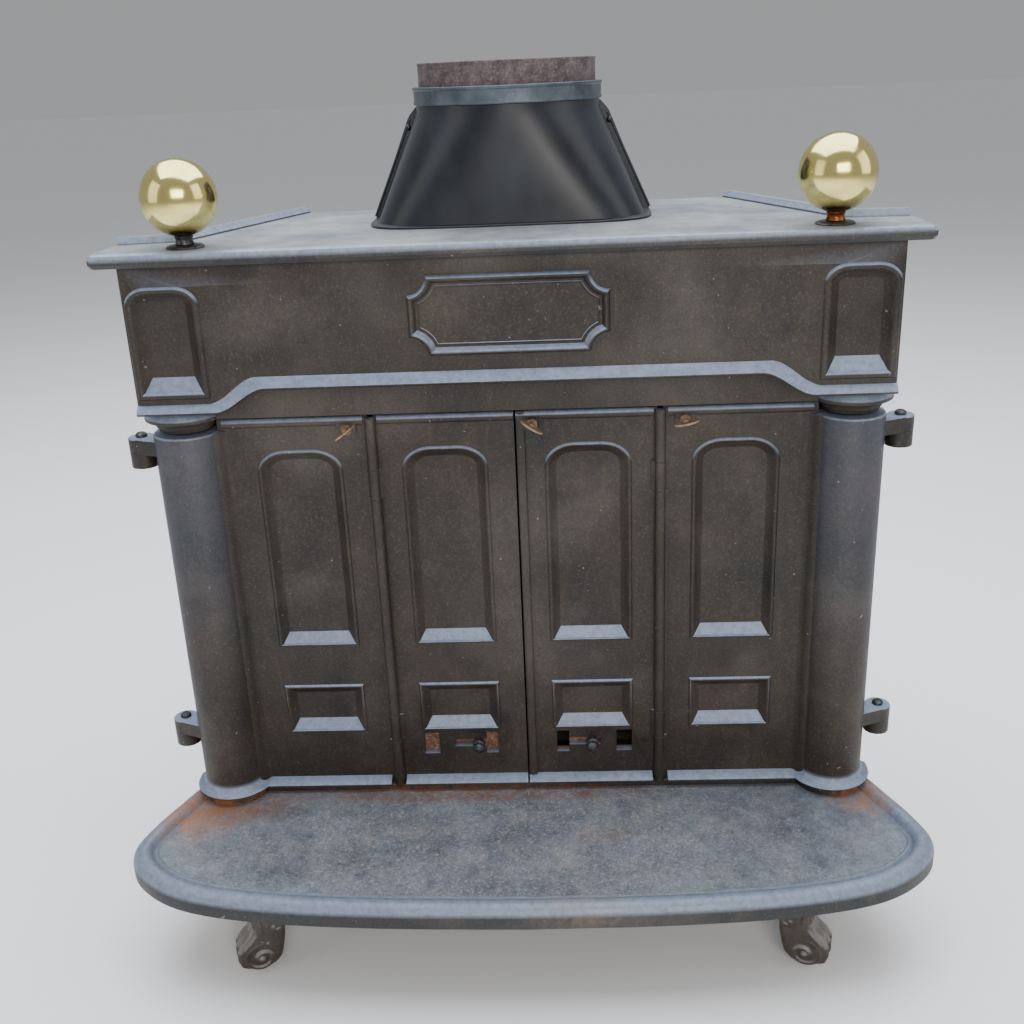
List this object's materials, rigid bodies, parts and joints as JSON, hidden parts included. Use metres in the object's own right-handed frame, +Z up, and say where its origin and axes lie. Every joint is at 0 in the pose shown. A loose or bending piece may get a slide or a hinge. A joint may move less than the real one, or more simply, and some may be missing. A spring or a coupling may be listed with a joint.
{
  "type": "wood burning stove",
  "caption": "Cast iron fireplace stove with folding panelled doors between half-round columns, an open hearth on scroll legs, a flue hood and ball finials.",
  "frame": {"origin": "centre of the bounding box on the floor", "axes": "+Z up, doors face -Y, +X to the right of someone facing the doors"},
  "size_m": [0.918, 0.518, 0.98],
  "materials": {
    "band_steel": "dull grey steel strip",
    "bare_steel": "plain steel, darkened by heat",
    "brass": "polished, slightly tarnished",
    "cast_iron": "weathered grey iron casting with traces of black stove polish",
    "copper_brown": "brass stem browned by heat",
    "hood_steel": "black heat-resistant finish on sheet steel",
    "rusted_steel": "rusted mild steel"
  },
  "bodies": {
    "stove_body": {"back_wall": "cast_iron", "collar_band": "band_steel", "finial_ball_left": "brass", "finial_ball_right": "brass", "finial_stem_left": "bare_steel", "finial_stem_right": "copper_brown", "finial_washer_left": "bare_steel", "finial_washer_right": "bare_steel", "fire_grate": "cast_iron", "fireback_plate": "cast_iron", "flue_hood": "hood_steel", "flue_spigot": "rusted_steel", "frieze": "cast_iron", "hearth_plate": "cast_iron", "hinge_pin_lower_left": "bare_steel", "hinge_pin_lower_right": "bare_steel", "hinge_pin_upper_left": "bare_steel", "hinge_pin_upper_right": "bare_steel", "leg_back_left": "cast_iron", "leg_back_right": "cast_iron", "leg_bolt_back_left": "bare_steel", "leg_bolt_back_right": "bare_steel", "leg_bolt_front_left": "bare_steel", "leg_bolt_front_right": "bare_steel", "leg_front_left": "cast_iron", "leg_front_right": "cast_iron", "log_guard": "cast_iron", "seam_rivet_left": "hood_steel", "seam_rivet_right": "hood_steel", "side_wall_left": "cast_iron", "side_wall_right": "cast_iron", "smoke_baffle": "cast_iron", "top_plate": "cast_iron"},
    "outer_door_left": {"door_outer_left": "cast_iron", "fold_pin_upper_left": "bare_steel", "fold_pin_lower_left": "bare_steel"},
    "outer_door_right": {"door_outer_right": "cast_iron", "fold_pin_upper_right": "bare_steel", "fold_pin_lower_right": "bare_steel"},
    "inner_door_left": {"door_inner_left": "cast_iron"},
    "inner_door_right": {"door_inner_right": "cast_iron"},
    "air_control_left": {"air_slide_left": "rusted_steel", "air_knob_left": "bare_steel"},
    "air_control_right": {"air_slide_right": "rusted_steel", "air_knob_right": "bare_steel"},
    "latch_left": {"latch_wing_left": "rusted_steel", "latch_tongue_left": "rusted_steel"},
    "latch_middle": {"latch_wing_middle": "rusted_steel", "latch_tongue_middle": "rusted_steel"},
    "latch_right": {"latch_wing_right": "rusted_steel", "latch_tongue_right": "rusted_steel"}
  },
  "joints": [
    {"name": "outer_door_left_hinge", "type": "hinge", "parent": "stove_body", "child": "outer_door_left", "pos_m": [-0.425, -0.003, 0.382], "axis": [0, 0, -1], "range_deg": [0, 110]},
    {"name": "outer_door_right_hinge", "type": "hinge", "parent": "stove_body", "child": "outer_door_right", "pos_m": [0.425, -0.003, 0.382], "axis": [0, 0, 1], "range_deg": [0, 110]},
    {"name": "inner_door_left_hinge", "type": "hinge", "parent": "outer_door_left", "child": "inner_door_left", "pos_m": [-0.16, -0.0245, 0.382], "axis": [0, 0, -1], "range_deg": [0, 100]},
    {"name": "inner_door_right_hinge", "type": "hinge", "parent": "outer_door_right", "child": "inner_door_right", "pos_m": [0.16, -0.0245, 0.382], "axis": [0, 0, 1], "range_deg": [0, 100]},
    {"name": "air_control_left_slide", "type": "slide", "parent": "inner_door_left", "child": "air_control_left", "axis": [-1, 0, 0], "range_m": [0, 0.0195]},
    {"name": "air_control_right_slide", "type": "slide", "parent": "inner_door_right", "child": "air_control_right", "axis": [-1, 0, 0], "range_m": [0, 0.0195]},
    {"name": "latch_left_turn", "type": "hinge", "parent": "outer_door_left", "child": "latch_left", "pos_m": [-0.187, -0.019, 0.604], "axis": [0, 1, 0], "range_deg": [0, 90]},
    {"name": "latch_middle_turn", "type": "hinge", "parent": "inner_door_right", "child": "latch_middle", "pos_m": [0.019, -0.019, 0.604], "axis": [0, -1, 0], "range_deg": [0, 90]},
    {"name": "latch_right_turn", "type": "hinge", "parent": "outer_door_right", "child": "latch_right", "pos_m": [0.187, -0.019, 0.604], "axis": [0, -1, 0], "range_deg": [0, 90]}
  ]
}
